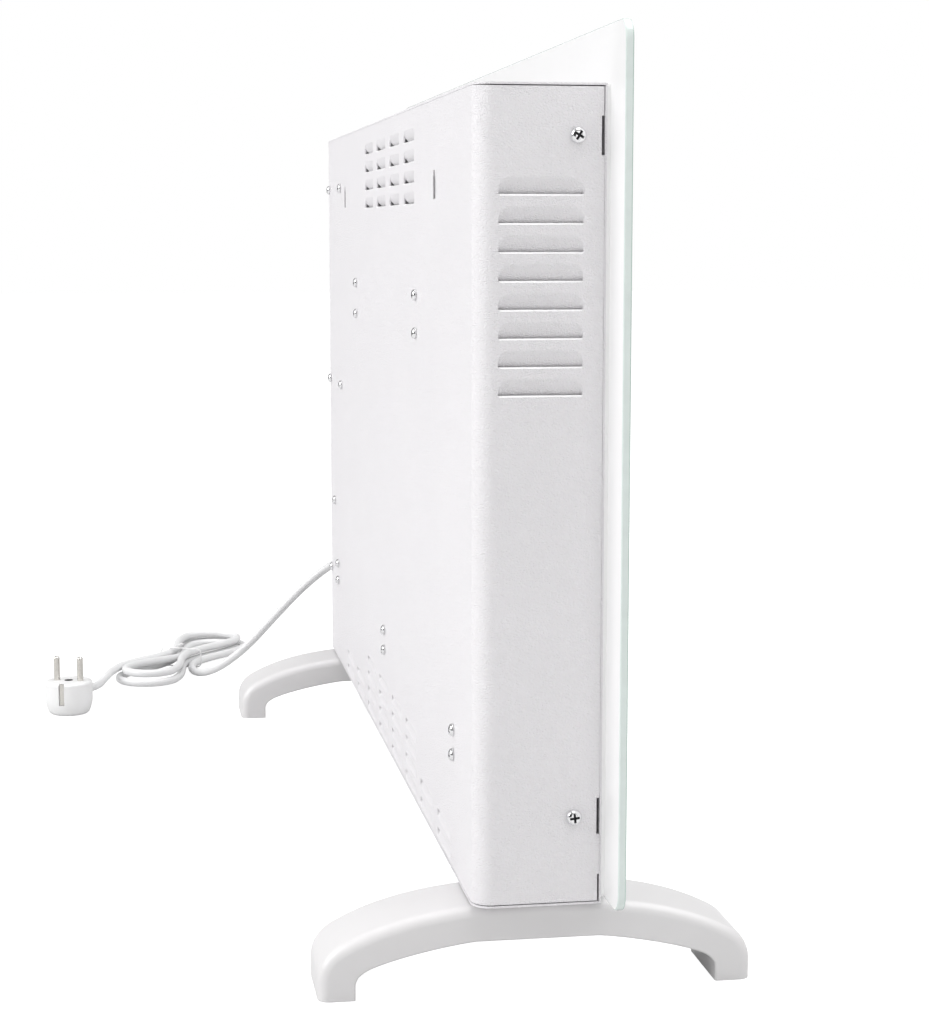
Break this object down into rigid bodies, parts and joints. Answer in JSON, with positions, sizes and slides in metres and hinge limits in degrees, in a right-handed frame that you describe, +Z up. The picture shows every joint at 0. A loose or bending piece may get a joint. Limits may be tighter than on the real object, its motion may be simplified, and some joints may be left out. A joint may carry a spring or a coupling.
{
  "type": "glass convector heater",
  "caption": "Floor-standing glass-fronted convector heater with a louvred sheet-metal back, arched feet, side controls and a mains lead with a tied hank and plug.",
  "frame": {"origin": "on the floor under the middle of the feet, halfway across the width", "axes": "+X along the width towards the side with the controls and the mains lead, +Y to the louvred back, +Z up; the glass faces -Y"},
  "size_m": [0.9799, 0.3715, 0.4733],
  "materials": {
    "printed_glass": "toughened glass with an opaque white print on its back",
    "silicone_bead": "white silicone",
    "powder_coat": "white satin powder coat on 1 mm steel sheet",
    "foot_plastic": "white moulded plastic",
    "bright_screw": "bright zinc plate",
    "plain_steel": "galvanised sheet",
    "fin_aluminium": "extruded or rolled, bare",
    "black_plastic": "black moulded plastic",
    "white_plastic": "white moulded plastic",
    "cord_pvc": "white PVC sheath",
    "nickel": "nickel-plated brass"
  },
  "bodies": {
    "heater": {"bracket_screw_centre_lower": "bright_screw", "bracket_screw_centre_upper": "bright_screw", "bracket_screw_left_lower": "bright_screw", "bracket_screw_left_upper": "bright_screw", "bracket_screw_right_lower": "bright_screw", "bracket_screw_right_upper": "bright_screw", "carrier_screw_lower": "bright_screw", "carrier_screw_upper": "bright_screw", "control_bezel": "white_plastic", "control_carrier": "plain_steel", "control_partition": "plain_steel", "cord_clamp": "black_plastic", "cord_clamp_screw": "bright_screw", "cord_gland": "white_plastic", "cord_hank": "cord_pvc", "cord_lead": "cord_pvc", "element_bracket_centre": "plain_steel", "element_bracket_left": "plain_steel", "element_bracket_right": "plain_steel", "foot_left": "foot_plastic", "foot_right": "foot_plastic", "foot_screw_left_front": "bright_screw", "foot_screw_left_rear": "bright_screw", "foot_screw_right_front": "bright_screw", "foot_screw_right_rear": "bright_screw", "front_chassis": "powder_coat", "glass_bead": "silicone_bead", "glass_panel": "printed_glass", "hank_tie": "white_plastic", "heat_shield": "fin_aluminium", "heating_element_lower": "fin_aluminium", "heating_element_upper": "fin_aluminium", "partition_screw_lower": "bright_screw", "partition_screw_upper": "bright_screw", "plug_body": "white_plastic", "plug_earth_clip_front": "nickel", "plug_earth_clip_rear": "nickel", "plug_pin_left": "nickel", "plug_pin_right": "nickel", "rear_cover": "powder_coat", "rocker_housing_lower": "black_plastic", "rocker_housing_upper": "black_plastic", "side_screw_left_lower": "bright_screw", "side_screw_left_upper": "bright_screw", "side_screw_right_lower": "bright_screw", "side_screw_right_upper": "bright_screw", "stay_left": "plain_steel", "stay_right": "plain_steel", "stay_screw_left_lower": "bright_screw", "stay_screw_left_upper": "bright_screw", "stay_screw_right_lower": "bright_screw", "stay_screw_right_upper": "bright_screw", "thermal_cutout": "black_plastic", "thermostat": "black_plastic", "tip_over_switch": "black_plastic", "tip_switch_screw": "bright_screw"},
    "knob": {"thermostat_shaft": "plain_steel", "thermostat_knob": "white_plastic"},
    "upper_rocker": {"rocker_upper": "white_plastic"},
    "lower_rocker": {"rocker_lower": "white_plastic"}
  },
  "joints": [
    {"name": "thermostat_turn", "type": "hinge", "parent": "heater", "child": "knob", "pos_m": [0.3528, -0.0022, 0.3823], "axis": [1, 0, 0], "range_deg": [0, 270]},
    {"name": "upper_rocker_tilt", "type": "hinge", "parent": "heater", "child": "upper_rocker", "pos_m": [0.3529, -0.0022, 0.3283], "axis": [0, 1, 0], "range_deg": [0, 18]},
    {"name": "lower_rocker_tilt", "type": "hinge", "parent": "heater", "child": "lower_rocker", "pos_m": [0.3529, -0.0022, 0.2923], "axis": [0, 1, 0], "range_deg": [0, 18]}
  ]
}
